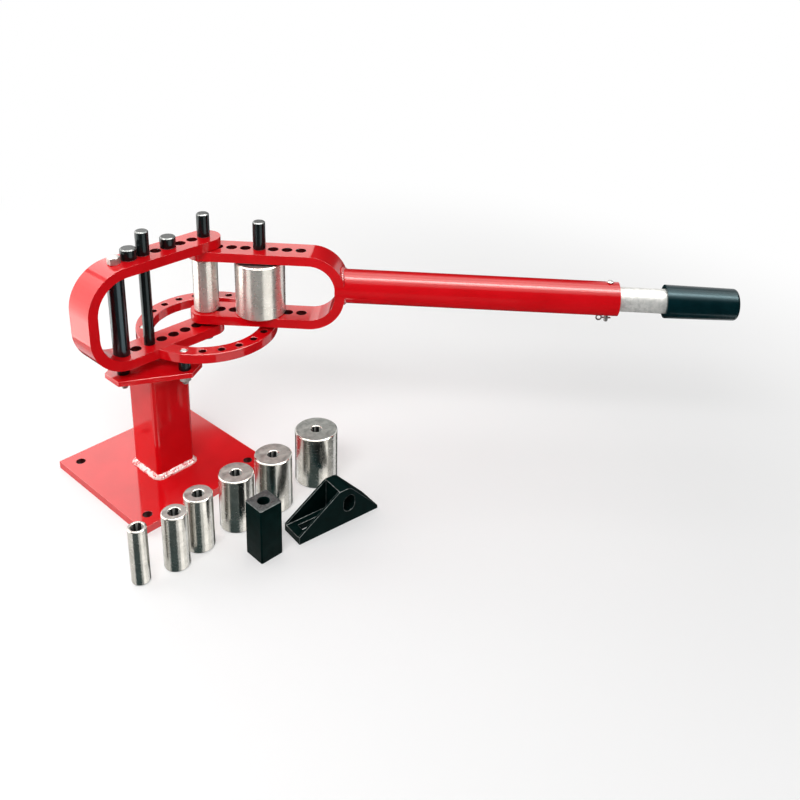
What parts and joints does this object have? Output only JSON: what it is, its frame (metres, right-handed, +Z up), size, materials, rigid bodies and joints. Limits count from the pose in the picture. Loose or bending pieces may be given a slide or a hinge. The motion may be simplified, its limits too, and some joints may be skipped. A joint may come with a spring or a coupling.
{
  "type": "compact manual pipe and bar bender",
  "caption": "Post-mounted compact bender: a fixed bent-bar frame with index ring, a swing arm with follower die and telescoping handle, and a loose set of bending dies.",
  "frame": {"origin": "centre of the base plate's underside", "axes": "+Z up along the post; +X along the arms of the fixed frame, from its bend towards the pivot pin; the loose dies stand on the -Y side"},
  "size_m": [0.8062, 0.7569, 0.405],
  "materials": {
    "red_paint": "glossy bright red paint with slight orange peel",
    "black_steel": "oil-blackened steel, satin",
    "die_steel": "bright turned steel",
    "zinc": "zinc plated",
    "galvanised": "galvanised, lightly mottled",
    "rubber_grip": "smooth matt rubber",
    "black_iron": "black painted casting, satin"
  },
  "bodies": {
    "stand": {"base_plate": "red_paint", "foot_weld": "red_paint", "post": "red_paint", "top_plate": "red_paint", "plate_spacers": "black_steel", "plate_washers": "zinc", "plate_nuts": "zinc", "frame_studs": "zinc", "long_bolt": "zinc", "spacer_sleeve": "black_steel", "fixed_frame": "red_paint", "index_ring": "red_paint", "thrust_washer": "black_steel"},
    "pivot_pin": {"pivot_pin": "black_steel"},
    "stop_pin": {"stop_pin": "black_steel"},
    "cap_a": {"cap_a": "black_steel"},
    "cap_b": {"cap_b": "black_steel"},
    "ring_pin": {"ring_pin": "black_steel"},
    "centre_die": {"centre_die": "die_steel"},
    "swing_arm": {"swing_arm": "red_paint", "handle_weld": "red_paint", "handle_tube": "red_paint", "clevis_pin": "zinc", "split_pin": "zinc"},
    "follower_pin": {"follower_pin": "black_steel"},
    "follower_die": {"follower_die": "die_steel"},
    "extension": {"extension_tube": "galvanised", "grip": "rubber_grip"},
    "die_a": {"die_a": "die_steel"},
    "die_b": {"die_b": "die_steel"},
    "die_c": {"die_c": "die_steel"},
    "die_d": {"die_d": "die_steel"},
    "die_e": {"die_e": "die_steel"},
    "die_f": {"die_f": "die_steel"},
    "square_block": {"square_block": "black_iron"},
    "angle_block": {"angle_block": "black_iron"}
  },
  "joints": [
    {"name": "arm_swing", "type": "hinge", "parent": "stand", "child": "swing_arm", "pos_m": [0.093, 0, 0.292], "axis": [0, 0, 1], "range_deg": [-100, 68]},
    {"name": "centre_die_spin", "type": "hinge", "parent": "stand", "child": "centre_die", "pos_m": [0.093, 0, 0.29], "axis": [0, 0, 1], "continuous": true},
    {"name": "follower_die_spin", "type": "hinge", "parent": "swing_arm", "child": "follower_die", "pos_m": [0.14654, -0.06472, 0.29], "axis": [0, 0, 1], "continuous": true},
    {"name": "extension_slide", "type": "slide", "parent": "swing_arm", "child": "extension", "axis": [0.6374, -0.7705, 0], "range_m": [0, 0.12]},
    {"name": "pivot_pin_lift", "type": "slide", "parent": "stand", "child": "pivot_pin", "axis": [0, 0, 1], "range_m": [0, 0.175]},
    {"name": "stop_pin_lift", "type": "slide", "parent": "stand", "child": "stop_pin", "axis": [0, 0, 1], "range_m": [0, 0.165]},
    {"name": "cap_a_lift", "type": "slide", "parent": "stand", "child": "cap_a", "axis": [0, 0, 1], "range_m": [0, 0.03]},
    {"name": "cap_b_lift", "type": "slide", "parent": "stand", "child": "cap_b", "axis": [0, 0, 1], "range_m": [0, 0.03]},
    {"name": "ring_pin_lift", "type": "slide", "parent": "stand", "child": "ring_pin", "axis": [0, 0, 1], "range_m": [0, 0.03]},
    {"name": "follower_pin_lift", "type": "slide", "parent": "swing_arm", "child": "follower_pin", "axis": [0, 0, 1], "range_m": [0, 0.125]},
    {"name": "die_a_lift", "type": "slide", "parent": "stand", "child": "die_a", "axis": [0, 0, 1], "range_m": [0, 0.1]},
    {"name": "die_b_lift", "type": "slide", "parent": "stand", "child": "die_b", "axis": [0, 0, 1], "range_m": [0, 0.1]},
    {"name": "die_c_lift", "type": "slide", "parent": "stand", "child": "die_c", "axis": [0, 0, 1], "range_m": [0, 0.1]},
    {"name": "die_d_lift", "type": "slide", "parent": "stand", "child": "die_d", "axis": [0, 0, 1], "range_m": [0, 0.1]},
    {"name": "die_e_lift", "type": "slide", "parent": "stand", "child": "die_e", "axis": [0, 0, 1], "range_m": [0, 0.1]},
    {"name": "die_f_lift", "type": "slide", "parent": "stand", "child": "die_f", "axis": [0, 0, 1], "range_m": [0, 0.1]},
    {"name": "square_block_lift", "type": "slide", "parent": "stand", "child": "square_block", "axis": [0, 0, 1], "range_m": [0, 0.1]},
    {"name": "angle_block_lift", "type": "slide", "parent": "stand", "child": "angle_block", "axis": [0, 0, 1], "range_m": [0, 0.1]}
  ]
}
